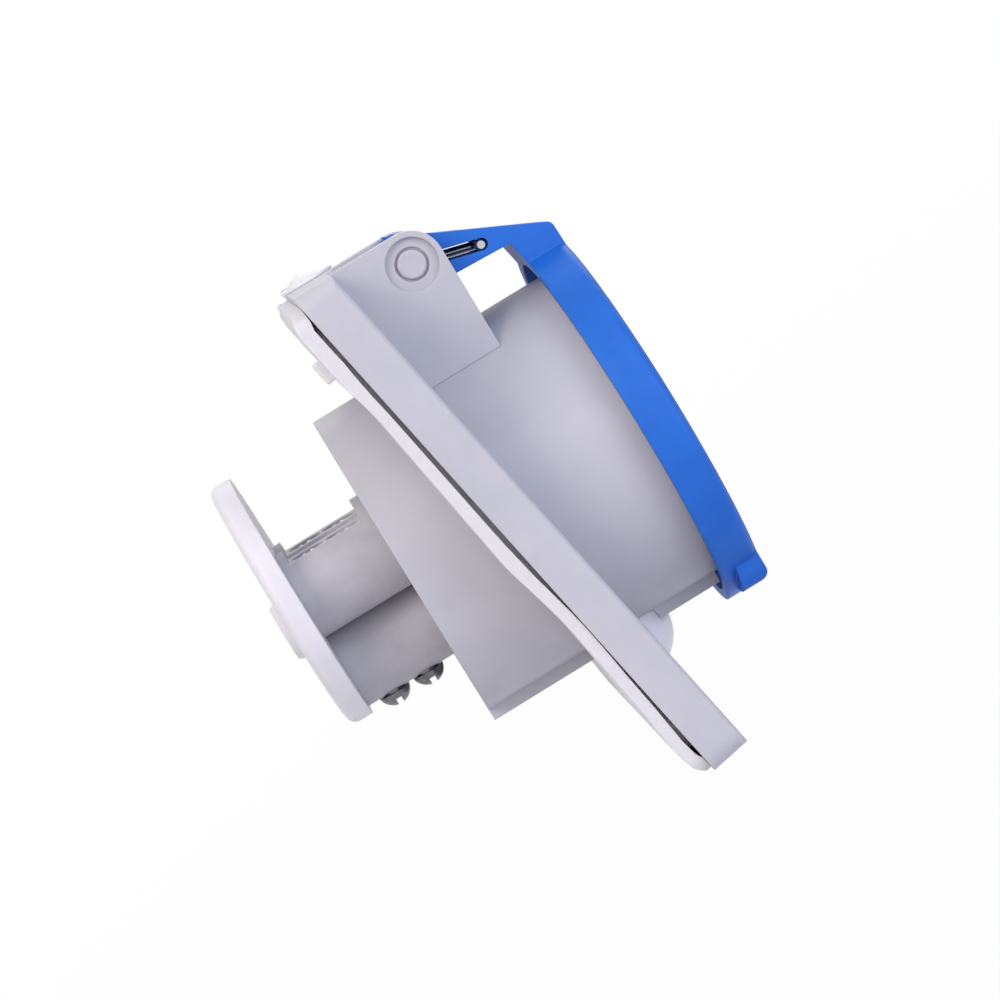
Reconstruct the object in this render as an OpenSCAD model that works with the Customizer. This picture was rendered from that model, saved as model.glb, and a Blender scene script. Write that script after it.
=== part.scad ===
// Panel-mounting industrial socket, two poles and earth, with an angled front and a hinged spring lid.
// The panel lies in the plane y = 0, the front points to -Y, the hinge runs along X, and +Z is up.
// Parts on the socket's own axis are drawn in its frame: x across, y up the socket, z outwards.

/* [Flange] */
// Width of the flange, along the hinge
flange_w = 76; // [72:1:90]
// Height of the flange
flange_h = 86; // [84:1:100]
// Depth of the flange from its rim to its front
flange_d = 6; // [5:0.5:8]
// Wall of the flange and its skirt
flange_wall = 2.6; // [2:0.1:3]
// Corner radius of the flange, seen from the front
flange_corner_r = 3; // [2:0.5:5]
// Radius along the front edges of the flange
flange_edge_r = 0.8; // [0.5:0.1:1.2]
// Fixing hole distance along the hinge
fixing_x = 60; // [58:1:62]
// Fixing hole distance up the flange
fixing_z = 70; // [68:1:72]
// Radius of a fixing hole
fixing_r = 2.7; // [2.2:0.1:2.8]
// How far the soft gasket stands behind the flange rim
gasket_proud = 2.8; // [1.5:0.1:3]

/* [Socket tube] */
// Downward tilt of the socket axis
tilt = 10.5; // [9:0.5:12]
// Height at which the socket axis crosses the plane of the flange rim
axis_z = 0.9; // [0.5:0.1:1.5]
// Outer radius of the collar in front of the flange
collar_r = 24.9; // [24.8:0.1:25.1]
// Inner radius of the collar
collar_bore_r = 23.1; // [22.9:0.1:23.2]
// Front end of the collar, measured along the axis from the rim
collar_front = 26; // [25.6:0.1:26.1]
// Outer radius of the body behind the flange
body_r = 24.4; // [24.2:0.1:24.5]
// Length of the body behind the rim, along the axis
body_back = 14; // [12:0.1:15]
// Outer reach of the key ridge along the bottom
ridge_r = 26.2; // [26:0.1:26.6]
// Width of the key ridge
ridge_w = 9; // [8:0.5:11]

/* [Hinge] */
// Hinge pin, distance out along the axis
hinge_out = 9.5; // [9.4:0.1:9.6]
// Hinge pin, height above the axis
hinge_up = 36.6; // [36.5:0.1:36.8]
// Radius of the hinge pin
pin_r = 2.1; // [2:0.05:2.2]
// Radius of the round top of a hinge ear
knuckle_r = 4.7; // [4.6:0.1:4.8]
// Outer face of a hinge ear, from the middle
ear_outer = 14.5; // [14:0.1:15]
// Inner face of a hinge ear, from the middle
ear_inner = 9.4; // [9.3:0.1:9.8]

/* [Lid] */
// Outer radius of the lid's rim
lid_r = 29.4; // [29.2:0.1:29.6]
// Wall of the lid's rim
lid_wall = 1.8; // [1.6:0.1:1.8]
// Rear edge of the lid's rim, along the axis
lid_back = 24; // [23.8:0.1:24.1]
// Thickness of the lid at its rim
lid_plate = 2; // [1.8:0.1:2.1]
// Height of the dome above the lid's edge
dome_h = 1.6; // [1.2:0.1:1.8]
// Top of the dome, along the axis
dome_top = 31.6; // [31.4:0.1:31.8]
// Half width of the lid's arm
arm_half = 9; // [8.6:0.1:9]

/* [Contacts] */
// Radius of the circle that the three contacts lie on
contact_ring_r = 8.5; // [8.3:0.1:8.6]
// Bore of a live contact sleeve
live_bore_r = 2.5; // [2.4:0.05:2.6]
// Bore of the earth contact sleeve
earth_bore_r = 3.5; // [3.4:0.05:3.5]
// Outer radius of the front part of the contact carrier
insert_r = 18; // [17.8:0.1:18.1]
// Front face of the contact carrier, along the axis
insert_front = 21; // [18:0.5:22]
// Outer radius of a terminal tube behind the body
tube_r = 6.85; // [6.7:0.05:6.9]
// Rear end of the terminal tubes, along the axis
tube_back = -28.5; // [-30:0.5:-28]

/* [Rear plate] */
// Radius of the rear plate
plate_r = 20; // [19:0.5:21]
// Height of the middle of the rear plate above the axis
plate_up = 3.6; // [2:0.1:4]
// Thickness of the rear plate
plate_t = 3.6; // [3.4:0.1:4.6]

/* [Hidden] */
$fn = 72;
cut = 0.1;
fit = 0.05;

light_grey = "#c5c4cc";
lid_blue = "#3474da";
soft_white = "#e3e1e4";
natural_white = "#e7e5ea";
carrier_grey = "#aeacb2";
brass = "#c9a756";
bright_steel = "#b9bac0";

rim_y = -gasket_proud;
front_y = rim_y - flange_d;
pocket_d = flange_d - flange_wall - 0.2;
pocket_w = flange_w - 2 * flange_wall;
pocket_h = flange_h - 2 * flange_wall - 2;
pocket_corner_r = 3.4;
boss_r = 4.6;
counterbore_r = 4.9;
counterbore_d = 1;
gasket_gap = 0.3;
gasket_lift = 0.5;
gasket_inset = 0.5;
panel_hole_r = 29;
panel_hole_z = 3;

body_up = -0.4;
shoulder_front = -2;
shoulder_back = -7;
carrier_disc_t = 4;
rear_bore_r = 22.3;
shoulder_r = 18.3;
keyway_w = 5.6;
keyway_r = 24.9;
ridge_front = 24.4;
ear_front = hinge_out + knuckle_r;
ear_foot = 16;
ear_recess_r = 3.85;
ear_recess_d = 0.9;
flange_top_up = 41.7;
flange_top_z = axis_z + flange_top_up / cos(tilt);

lid_bore_r = lid_r - lid_wall;
lid_edge = dome_top - dome_h;
lid_inside = lid_edge - lid_plate;
lid_round = 1.1;
dome_r = (lid_r * lid_r + dome_h * dome_h) / (2 * dome_h);
lip_half = 17.5;
lip_reach = 27.5;
lip_back = 25.5;
lip_corner_r = 1.6;
seal_outer_r = 27.4;
seal_inner_r = 21.4;
seal_back = 26.3;

spring_wire_r = 0.6;
wire_sides = 8;
coil_r = 2.95;
coil_outer_x = 6.4;
coil_inner_x = 2;
coil_turns = 3;
coil_steps = 42;
coil_room_r = 3.8;
coil_room_w = 14.6;
spring_leg_up = hinge_up - coil_r;
spring_foot_out = 4.2;
spring_bail_out = 19.6;
ledge_w = 14;

live_sleeve_r = 3.9;
earth_sleeve_r = 4.9;
sleeve_front = 18.8;
sleeve_back = -27.5;
ring_at = 13;
ring_w = 1.6;
ring_depth = 0.5;
slit_w = 0.6;
slit_end = 2;
terminal_at = [-24.2, -18.5];
tube_cut_up = 5;
screw_shank_r = 1.8;
screw_head_r = 2.5;
live_head_h = 1;
earth_head_h = 2.1;
small_screw_r = 1.2;
small_screw_l = 7;
carrier_screw_ring_r = 20.2;
contact_back = -12;
post_r = 3.4;

upper_cap_out = -4.1;
upper_cap_r = 4.2;
upper_cap_h = 1.8;
lower_cap_down = 27.4;
lower_cap_r = 6.7;
lower_cap_h = 4.9;

// Puts children drawn in the socket's frame in their place on the flange
module along_socket() {
    translate([0, rim_y, axis_z]) rotate([90 + tilt, 0, 0]) children();
}

// Extrudes an outline of (outwards, up) evenly across the socket
module across(width) {
    rotate([0, -90, 0]) linear_extrude(width, center = true) children();
}

// A round bar across the socket, centred on the given place
module bar_across(radius, width, out, up) {
    translate([0, up, out]) rotate([0, 90, 0]) cylinder(r = radius, h = width, center = true);
}

module rounded_rect(w, h, r) {
    square([w - 2 * r, h], center = true);
    square([w, h - 2 * r], center = true);
    for (sx = [-1, 1], sy = [-1, 1])
        translate([sx * (w / 2 - r), sy * (h / 2 - r)]) circle(r);
}

// Lays an outline of (across, up) in the plane of the panel and gives it depth towards the front
module on_panel(back, front) {
    translate([0, back, 0]) rotate([90, 0, 0]) linear_extrude(back - front) children();
}

module fixing_places() {
    for (sx = [-1, 1], sz = [-1, 1]) translate([sx * fixing_x / 2, sz * fixing_z / 2]) children();
}

// Contact places, from the front: earth at the bottom, line and neutral above it
function contact_place(angle) = [contact_ring_r * cos(angle), contact_ring_r * sin(angle)];
earth_at = contact_place(-90);
line_at = contact_place(150);
neutral_at = contact_place(30);

// Section of the flange from back to front with a small radius at both front edges
module flange_section(span) {
    r = flange_edge_r;
    translate([0, -span / 2]) square([flange_d - r, span]);
    translate([0, -span / 2 + r]) square([flange_d, span - 2 * r]);
    for (s = [-1, 1]) translate([flange_d - r, s * (span / 2 - r)]) circle(r, $fn = 24);
}

// The flange's outer form: its top end is cut parallel to the socket axis
module flange_block() {
    tall = flange_top_z + flange_h / 2;
    intersection() {
        on_panel(rim_y, front_y) translate([0, (flange_top_z - flange_h / 2) / 2])
            rounded_rect(flange_w, tall, flange_corner_r);
        translate([0, rim_y, 0]) rotate([0, 0, -90]) linear_extrude(2 * flange_h, center = true)
            flange_section(flange_w);
        along_socket() translate([-flange_w, -2 * flange_h, -flange_h])
            cube([2 * flange_w, 2 * flange_h + flange_top_up, 2 * flange_h]);
    }
}

module flange_pocket() {
    difference() {
        on_panel(rim_y + cut, rim_y - pocket_d) rounded_rect(pocket_w, pocket_h, pocket_corner_r);
        on_panel(rim_y + 2 * cut, rim_y - pocket_d - cut) fixing_places() circle(boss_r);
    }
}

module ridge(back, front) {
    translate([-ridge_w / 2, -ridge_r, back]) cube([ridge_w, ridge_r - collar_r + 3, front - back]);
}

// Outline of an ear: square at its foot and round over the pin
module ear_outline() {
    foot_back = -6;
    top = hinge_up + knuckle_r;
    translate([foot_back, ear_foot]) square([ear_front - foot_back, hinge_up - ear_foot]);
    translate([foot_back, ear_foot]) square([hinge_out - foot_back, top - ear_foot]);
    translate([hinge_out, hinge_up]) circle(knuckle_r);
}

module ears() {
    width = ear_outer - ear_inner;
    intersection() {
        along_socket() for (s = [-1, 1])
            translate([s * (ear_inner + width / 2), 0, 0]) across(width) ear_outline();
        on_panel(rim_y - pocket_d, front_y - 60) square([4 * ear_outer, 2 * flange_h], center = true);
    }
}

// The wall between the ears, with the ledge that carries the spring's feet
module hinge_base() {
    width = 2 * ear_inner + 1;
    back = -8;
    foot = 20;
    front_low = 1.6;
    front_high = 3.4;
    ledge_front = 6.6;
    ledge_t = 1.6;
    ledge_up = spring_leg_up - spring_wire_r - fit;
    intersection() {
        along_socket() {
            across(width) polygon([
                [back, foot], [front_low, foot], [front_low, 29], [front_high, 31.5],
                [front_high, 36], [-0.5, flange_top_up], [back, flange_top_up]
            ]);
            across(ledge_w) polygon([
                [0, 27], [front_low, 27], [ledge_front, ledge_up - ledge_t],
                [ledge_front, ledge_up], [0, ledge_up]
            ]);
        }
        on_panel(rim_y - pocket_d, front_y - 30) square([2 * flange_w, 2 * flange_h], center = true);
    }
}

// Outer form of the socket tube: the body through the flange, the collar before it and the key ridge
module tube_outside(behind) {
    body_front = 10;
    back = -body_back - behind;
    along_socket() {
        translate([0, body_up, back]) cylinder(r = body_r, h = body_front - back, $fn = 120);
        ridge(back, ridge_front);
    }
    intersection() {
        along_socket() translate([0, 0, -collar_front]) cylinder(r = collar_r, h = 2 * collar_front, $fn = 120);
        on_panel(rim_y - pocket_d, front_y - 2 * collar_r) square(4 * collar_r, center = true);
    }
}

module housing() color(light_grey) {
    difference() {
        union() {
            difference() {
                flange_block();
                flange_pocket();
            }
            ears();
            hinge_base();
        }
        tube_outside(body_back);
        along_socket() {
            bar_across(pin_r + 0.02, 2 * ear_outer + 2, hinge_out, hinge_up);
            for (s = [-1, 1]) translate([s * (ear_outer - ear_recess_d / 2 + cut), 0, 0]) {
                bar_across(ear_recess_r, ear_recess_d + 2 * cut, hinge_out, hinge_up);
                bar_across(pin_r + 0.35, ear_recess_d + 1.2, hinge_out, hinge_up);
            }
        }
        on_panel(rim_y + cut, front_y - cut) fixing_places() circle(fixing_r);
        on_panel(front_y + counterbore_d, front_y - cut) fixing_places() circle(counterbore_r);
    }
}

module socket_tube() color(light_grey) difference() {
    tube_outside(0);
    along_socket() {
        translate([0, 0, shoulder_front])
            cylinder(r = collar_bore_r, h = collar_front - shoulder_front + cut, $fn = 120);
        translate([0, 0, shoulder_back - cut])
            cylinder(r = shoulder_r, h = shoulder_front - shoulder_back + 2 * cut, $fn = 120);
        translate([0, 0, -body_back - cut])
            cylinder(r = rear_bore_r, h = body_back + shoulder_back + cut, $fn = 120);
        translate([-keyway_w / 2, -keyway_r, shoulder_front])
            cube([keyway_w, 5, collar_front - shoulder_front + cut]);
        carrier_screw_places() translate([0, 0, shoulder_back - cut])
            cylinder(r = small_screw_r, h = small_screw_l - carrier_disc_t + 2 * cut, $fn = 24);
    }
}

module carrier_screw_places() {
    for (angle = [30, 150])
        translate([carrier_screw_ring_r * cos(angle), carrier_screw_ring_r * sin(angle), 0]) children();
}

// A plug in the flange's pocket with a wider sheet behind the rim, open round the body and the fixings
module flange_gasket() color(soft_white) {
    gap = gasket_gap;
    difference() {
        union() {
            on_panel(0, rim_y - pocket_d)
                rounded_rect(pocket_w - 2 * gap, pocket_h - 2 * gap, pocket_corner_r - gap);
            on_panel(0, rim_y + gasket_lift)
                rounded_rect(flange_w - 2 * gasket_inset, flange_h - 2 * gasket_inset, pocket_corner_r);
        }
        on_panel(cut, rim_y - pocket_d - cut) fixing_places() circle(fixing_r + 0.4);
        on_panel(rim_y, rim_y - pocket_d - cut) fixing_places() circle(boss_r + gap);
        on_panel(cut, rim_y) translate([0, panel_hole_z]) circle(panel_hole_r, $fn = 120);
        along_socket() {
            translate([0, body_up, -flange_h / 2]) cylinder(r = body_r + gap, h = flange_h, $fn = 120);
            translate([-ridge_w / 2 - gap, -ridge_r - gap, -flange_h / 2])
                cube([ridge_w + 2 * gap, 5, flange_h]);
        }
    }
}

// Outline of half the lid's shell, to be turned about the socket axis
module lid_section() {
    difference() {
        intersection() {
            translate([0, lid_back]) square([lid_r, dome_top - lid_back]);
            translate([0, dome_top - dome_r]) circle(dome_r, $fn = 900);
        }
        translate([-1, lid_back - 1]) square([lid_bore_r + 1, lid_inside - lid_back + 1]);
        translate([lid_r - lid_round, lid_edge - lid_round]) difference() {
            square(lid_round + 1);
            circle(lid_round, $fn = 32);
        }
    }
}

// Outline of the arm: from its barrel round the pin to a blunt peak at the lid, with a round window below
module arm_outline() {
    under = 32.1;
    peak = [28.7, 30.6];
    peak_r = 1.2;
    window = [18.8, 27.4];
    window_r = 4.5;
    difference() {
        union() {
            polygon([
                [hinge_out - 0.8, hinge_up + 4.9], peak + peak_r * [0.43, 0.9], peak + [peak_r, 0],
                [lid_edge, 27], [lid_edge - 2, 26], [lid_back, 27.7], [lid_back - 0.8, under - 0.4],
                [hinge_out + 4.3, under], [hinge_out + 2.4, under + 1], [hinge_out, hinge_up]
            ]);
            translate(peak) circle(peak_r, $fn = 32);
            translate([hinge_out, hinge_up]) circle(knuckle_r - 0.2);
        }
        translate(window) circle(window_r, $fn = 48);
    }
}

module lid_slot() {
    from = [9.5, 36.4];
    to = [19.7, 33.7];
    half = 0.9;
    slope = atan2(to[1] - from[1], to[0] - from[0]);
    translate(from) rotate(slope) translate([0, -half]) square([norm(to - from), 2 * half]);
    translate(to) circle(half, $fn = 24);
}

// The straight thumb lip at the bottom of the lid, slanted behind and round at its front corner
module thumb_lip() {
    corner_r = 2.4;
    depth = 12;
    slant = 2.4;
    intersection() {
        across(2 * lip_half) difference() {
            polygon([
                [lip_back, -lip_reach], [lid_edge, -lip_reach], [lid_edge, depth - lip_reach],
                [lip_back + slant, depth - lip_reach]
            ]);
            translate([lid_edge - lip_corner_r, -lip_reach + lip_corner_r]) difference() {
                translate([0, -lip_corner_r - 1]) square(lip_corner_r + 1);
                circle(lip_corner_r, $fn = 32);
            }
        }
        translate([0, depth - lip_reach, lip_back - 1]) linear_extrude(lid_edge)
            rounded_rect(2 * lip_half, 2 * depth, corner_r);
    }
}

// Room in the lid's arm for the spring: round its coils, behind and under them, and along its legs
module spring_room() {
    leg_room_w = 6.4;
    bar_across(coil_room_r, coil_room_w, hinge_out, hinge_up);
    across(coil_room_w) {
        translate([hinge_out - 6, hinge_up - 9]) square([6 + coil_room_r, 9]);
        translate([hinge_out - 6, hinge_up - 9]) square([6.9, 18]);
    }
    across(leg_room_w) translate([hinge_out, spring_leg_up - 6])
        square([spring_bail_out + 0.4 - hinge_out, 6 + 2 * spring_wire_r]);
}

module lid() color(lid_blue) along_socket() difference() {
    union() {
        rotate_extrude($fn = 120) lid_section();
        across(2 * arm_half) arm_outline();
        thumb_lip();
    }
    translate([0, 0, lid_back - 5]) cylinder(r = lid_bore_r, h = lid_inside - lid_back + 5, $fn = 120);
    across(2 * arm_half + 1) lid_slot();
    bar_across(pin_r + 0.08, 3 * arm_half, hinge_out, hinge_up);
    spring_room();
}

module lid_seal() color(soft_white) along_socket() {
    difference() {
        translate([0, 0, seal_back]) cylinder(r = seal_outer_r, h = lid_inside - seal_back, $fn = 96);
        translate([0, 0, seal_back - cut]) cylinder(r = seal_inner_r, h = 5, $fn = 96);
        translate([0, 0, seal_back - cut]) cylinder(r = collar_r - 2.6, h = 0.7, $fn = 96);
    }
}

module hinge_pin() color(bright_steel) along_socket()
    bar_across(pin_r, 2 * (ear_outer - 0.5), hinge_out, hinge_up);

// Half of the spring's centre line: its foot on the ledge, its coil round the pin, its leg and half the bail
spring_half = concat(
    [[coil_outer_x, spring_leg_up, spring_foot_out]],
    [for (step = [0:coil_steps])
        let (angle = -90 + 360 * coil_turns * step / coil_steps)
        [
            coil_outer_x + (coil_inner_x - coil_outer_x) * step / coil_steps,
            hinge_up + coil_r * sin(angle),
            hinge_out + coil_r * cos(angle)
        ]],
    [
        [coil_inner_x, spring_leg_up, spring_bail_out - 1],
        [coil_inner_x - 0.3, spring_leg_up, spring_bail_out - 0.3],
        [coil_inner_x - 1, spring_leg_up, spring_bail_out]
    ]
);
spring_line = concat(spring_half, [
    for (i = [len(spring_half) - 1:-1:0]) [-spring_half[i][0], spring_half[i][1], spring_half[i][2]]
]);

function unit(way) = way / norm(way);

// Direction of a line of points at each of its points
function line_ways(line) = [
    for (i = [0:len(line) - 1]) unit(line[min(i + 1, len(line) - 1)] - line[max(i - 1, 0)])
];

// Carries a side direction along a line of points, with no twist
function carried(sides, ways, i) = i == len(ways) ? sides : carried(
    concat(sides, [unit(sides[i - 1] - (sides[i - 1] * ways[i]) * ways[i])]), ways, i + 1
);

// A wire of the given radius swept along a line of points
module swept_wire(line, radius) {
    ways = line_ways(line);
    sides = carried([[1, 0, 0]], ways, 1);
    points = [
        for (i = [0:len(line) - 1], turn = [0:wire_sides - 1])
            let (angle = turn * 360 / wire_sides)
            line[i] + radius * (cos(angle) * sides[i] + sin(angle) * cross(ways[i], sides[i]))
    ];
    last = (len(line) - 1) * wire_sides;
    faces = concat(
        [[for (turn = [0:wire_sides - 1]) turn]],
        [for (i = [0:len(line) - 2], turn = [0:wire_sides - 1])
            let (next = (turn + 1) % wire_sides, row = i * wire_sides)
            [row + turn, row + wire_sides + turn, row + wire_sides + next, row + next]],
        [[for (turn = [wire_sides - 1:-1:0]) last + turn]]
    );
    polyhedron(points = points, faces = faces, convexity = 8);
}

module lid_spring() color(bright_steel) along_socket() swept_wire(spring_line, spring_wire_r);

module contact_places() {
    for (place = [line_at, neutral_at, earth_at]) translate([place[0], place[1], 0]) children();
}

// The whole carrier: a round front and a wider disc that lies behind the shoulder, with the three contact ways
module carrier_block() {
    disc_back = shoulder_back - carrier_disc_t;
    difference() {
        union() {
            translate([0, 0, shoulder_back]) cylinder(r = insert_r, h = insert_front - shoulder_back, $fn = 96);
            translate([0, 0, disc_back]) cylinder(r = rear_bore_r - fit, h = carrier_disc_t, $fn = 96);
        }
        for (place = [line_at, neutral_at]) translate([place[0], place[1], 0])
            contact_bore(live_sleeve_r, live_bore_r + 0.4);
        translate([earth_at[0], earth_at[1], 0]) contact_bore(earth_sleeve_r, earth_bore_r + 0.4);
        carrier_screw_places() translate([0, 0, disc_back - cut])
            cylinder(r = small_screw_r + 0.4, h = carrier_disc_t + 1, $fn = 24);
    }
}

// One third of the carrier, round the contact that lies at the given angle
module carrier_third(angle) color(carrier_grey) along_socket() intersection() {
    reach = 30;
    carrier_block();
    rotate([0, 0, angle]) translate([fit, 0, tube_back]) linear_extrude(insert_front + 1 - tube_back)
        polygon([[0, 0], [reach, -reach * tan(60)], [reach, reach * tan(60)]]);
}

// The three tubes behind the carrier's disc, joined by a post that takes the rear plate's screw
module terminal_tubes() color(carrier_grey) along_socket() {
    tubes_front = shoulder_back - carrier_disc_t;
    length = tubes_front - tube_back;
    cut_margin = 3.1;
    difference() {
        translate([0, 0, tube_back]) {
            contact_places() cylinder(r = tube_r, h = length);
            cylinder(r = post_r, h = length);
        }
        for (place = [line_at, neutral_at]) translate([place[0], place[1], tube_back - cut])
            cylinder(r = live_sleeve_r + fit, h = length + 2 * cut);
        translate([earth_at[0], earth_at[1], tube_back - cut])
            cylinder(r = earth_sleeve_r + fit, h = length + 2 * cut);
        for (at = terminal_at) {
            translate([0, earth_at[1], at]) rotate([90, 0, 0]) cylinder(r = screw_shank_r + 0.5, h = 12);
            for (place = [line_at, neutral_at])
                translate([place[0], place[1], at]) rotate([-90, 0, 0]) cylinder(r = screw_head_r + 0.15, h = 12);
        }
        translate([-2 * tube_r - 3, line_at[1] + tube_cut_up, terminal_at[0] - cut_margin])
            cube([4 * tube_r + 6, tube_r, terminal_at[1] - terminal_at[0] + 2 * cut_margin]);
        translate([0, 0, tube_back - cut]) cylinder(r = small_screw_r, h = 10, $fn = 24);
    }
}

module contact_bore(sleeve_r, mouth_r) {
    translate([0, 0, tube_back - cut]) cylinder(r = sleeve_r + fit, h = sleeve_front - tube_back + fit + cut);
    translate([0, 0, sleeve_front]) cylinder(r = mouth_r, h = insert_front + 1 - sleeve_front);
    translate([0, 0, insert_front - 0.8]) cylinder(r1 = mouth_r, r2 = mouth_r + 1, h = 1);
}

module sleeve(place, sleeve_r, bore_r, screw_side) {
    wire_r = 2.1;
    translate([place[0], place[1], 0]) difference() {
        translate([0, 0, sleeve_back]) cylinder(r = sleeve_r, h = sleeve_front - sleeve_back, $fn = 48);
        translate([0, 0, contact_back])
            cylinder(r = bore_r, h = sleeve_front - contact_back + cut, $fn = 48);
        translate([0, 0, sleeve_back - cut]) cylinder(r = wire_r, h = 12, $fn = 32);
        translate([0, 0, ring_at]) difference() {
            cylinder(r = sleeve_r + 1, h = ring_w);
            translate([0, 0, -cut]) cylinder(r = sleeve_r - ring_depth, h = ring_w + 2 * cut);
        }
        translate([-slit_w / 2, -sleeve_r - 1, slit_end]) cube([slit_w, 2 * sleeve_r + 2, sleeve_front]);
        for (at = terminal_at) translate([0, 0, at]) rotate([-90 * screw_side, 0, 0])
            cylinder(r = screw_shank_r + 0.03, h = sleeve_r + 1, $fn = 32);
    }
}

module clamp_ring(place, sleeve_r) {
    translate([place[0], place[1], ring_at + fit]) difference() {
        cylinder(r = sleeve_r, h = ring_w - 2 * fit);
        translate([0, 0, -cut]) cylinder(r = sleeve_r - ring_depth + fit / 2, h = ring_w);
        translate([-0.4, 0, -cut]) cube([0.8, 2 * sleeve_r, ring_w]);
    }
}

// A slotted screw with a domed head, its shank pointing down and the underside of its head at z = 0
module slotted_screw(shank_r, shank_l, head_r, head_h) {
    ball_r = (head_r * head_r + head_h * head_h) / (2 * head_h);
    difference() {
        union() {
            translate([0, 0, -shank_l]) cylinder(r = shank_r, h = shank_l, $fn = 32);
            intersection() {
                cylinder(r = head_r, h = head_h, $fn = 48);
                translate([0, 0, head_h - ball_r]) sphere(ball_r, $fn = 64);
            }
        }
        translate([-head_r - 1, -0.45, head_h * 0.45]) cube([2 * head_r + 2, 0.9, head_h]);
    }
}

module terminal_screws(place, side, head_at, head_h) {
    along_socket() for (at = terminal_at)
        translate([place[0], place[1] + side * head_at, at]) rotate([-90 * side, 0, 0])
            slotted_screw(screw_shank_r, head_at - 2.5, screw_head_r, head_h);
}

module line_carrier() carrier_third(150);
module neutral_carrier() carrier_third(30);
module earth_carrier() carrier_third(-90);
module line_sleeve() color(brass) along_socket() sleeve(line_at, live_sleeve_r, live_bore_r, 1);
module neutral_sleeve() color(brass) along_socket() sleeve(neutral_at, live_sleeve_r, live_bore_r, 1);
module earth_sleeve() color(brass) along_socket() sleeve(earth_at, earth_sleeve_r, earth_bore_r, -1);
module line_ring() color(bright_steel) along_socket() clamp_ring(line_at, live_sleeve_r);
module neutral_ring() color(bright_steel) along_socket() clamp_ring(neutral_at, live_sleeve_r);
module earth_ring() color(bright_steel) along_socket() clamp_ring(earth_at, earth_sleeve_r);
module line_screws() color(bright_steel) terminal_screws(line_at, 1, live_sleeve_r + fit, live_head_h);
module neutral_screws() color(bright_steel) terminal_screws(neutral_at, 1, live_sleeve_r + fit, live_head_h);
module earth_screws() color(bright_steel) terminal_screws(earth_at, -1, tube_r + 0.1, earth_head_h);

module rear_plate() color(natural_white) along_socket() {
    plate_back = tube_back - plate_t;
    boss_h = 1.4;
    round_r = 1.6;
    difference() {
        union() {
            intersection() {
                translate([0, plate_up, plate_back]) rotate_extrude($fn = 96) difference() {
                    square([plate_r, plate_t]);
                    translate([plate_r - round_r, round_r]) difference() {
                        translate([0, -round_r - 1]) square([round_r + 1, round_r + 1]);
                        circle(round_r, $fn = 32);
                    }
                }
                translate([-plate_r, -plate_r, plate_back]) cube([2 * plate_r, 2 * plate_r + 3.2, plate_t]);
            }
            translate([0, 0, plate_back - boss_h]) cylinder(r1 = 4.2, r2 = 4.9, h = boss_h + cut);
        }
        contact_places() translate([0, 0, plate_back - cut]) {
            cylinder(r = 3, h = plate_t + 1);
            cylinder(r1 = 4.2, r2 = 3, h = 1.3);
        }
        translate([0, 0, plate_back - 3]) cylinder(r = 1.6, h = plate_t + 4, $fn = 24);
        translate([0, 0, plate_back - boss_h - cut]) cylinder(r = 2.8, h = 2.2);
    }
}

module rear_plate_screw() color(bright_steel) along_socket()
    translate([0, 0, tube_back - plate_t + 0.7]) rotate([180, 0, 0])
        slotted_screw(small_screw_r, 10, 2.6, 1.5);

module carrier_screws() color(bright_steel) along_socket() carrier_screw_places()
    translate([0, 0, shoulder_back - carrier_disc_t]) rotate([180, 0, 0])
        slotted_screw(small_screw_r, small_screw_l, 1.9, 1.4);

module dome_cap(base_r, height) {
    ball_r = (base_r * base_r + height * height) / (2 * height);
    intersection() {
        cylinder(r = base_r, h = height);
        translate([0, 0, height - ball_r]) sphere(ball_r, $fn = 72);
    }
}

module upper_cap() color(soft_white) along_socket()
    translate([0, flange_top_up, upper_cap_out]) rotate([-90, 0, 0]) dome_cap(upper_cap_r, upper_cap_h);

module lower_cap() color(soft_white) {
    difference() {
        translate([0, front_y, axis_z - lower_cap_down]) rotate([90, 0, 0]) dome_cap(lower_cap_r, lower_cap_h);
        along_socket() {
            cylinder(r = collar_r, h = 40, $fn = 120);
            ridge(0, 40);
        }
    }
}

housing();
socket_tube();
flange_gasket();
lid();
lid_seal();
hinge_pin();
lid_spring();
line_carrier();
neutral_carrier();
earth_carrier();
terminal_tubes();
line_sleeve();
neutral_sleeve();
earth_sleeve();
line_ring();
neutral_ring();
earth_ring();
line_screws();
neutral_screws();
earth_screws();
rear_plate();
rear_plate_screw();
carrier_screws();
upper_cap();
lower_cap();
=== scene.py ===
"""Dresses an industrial panel socket: moulded plastics, soft rubber, a wire spring and bare metal."""
import logging
import math
from dataclasses import dataclass
from enum import Enum
from typing import Any, Callable, Iterable, Sequence

import bmesh
import bpy
from mathutils import Matrix, Vector


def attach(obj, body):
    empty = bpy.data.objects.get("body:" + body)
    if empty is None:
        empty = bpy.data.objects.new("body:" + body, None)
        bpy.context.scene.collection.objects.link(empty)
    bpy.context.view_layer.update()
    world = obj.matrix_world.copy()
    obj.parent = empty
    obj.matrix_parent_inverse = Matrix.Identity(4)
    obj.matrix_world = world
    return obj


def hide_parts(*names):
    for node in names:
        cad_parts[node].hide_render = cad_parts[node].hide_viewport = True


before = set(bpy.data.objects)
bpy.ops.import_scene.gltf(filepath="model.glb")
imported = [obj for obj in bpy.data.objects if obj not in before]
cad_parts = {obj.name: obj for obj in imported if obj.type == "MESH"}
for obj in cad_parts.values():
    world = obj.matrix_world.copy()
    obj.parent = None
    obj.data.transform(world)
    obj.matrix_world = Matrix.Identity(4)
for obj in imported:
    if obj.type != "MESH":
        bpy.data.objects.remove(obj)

log = logging.getLogger("panel_socket")

MILLIMETRE = 0.001
MM_PER_METRE = 1000
WHITE = "#ffffff"

# Nearly all values of a noise lie between these two.
NOISE_LOW = 0.3
NOISE_HIGH = 0.7

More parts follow.
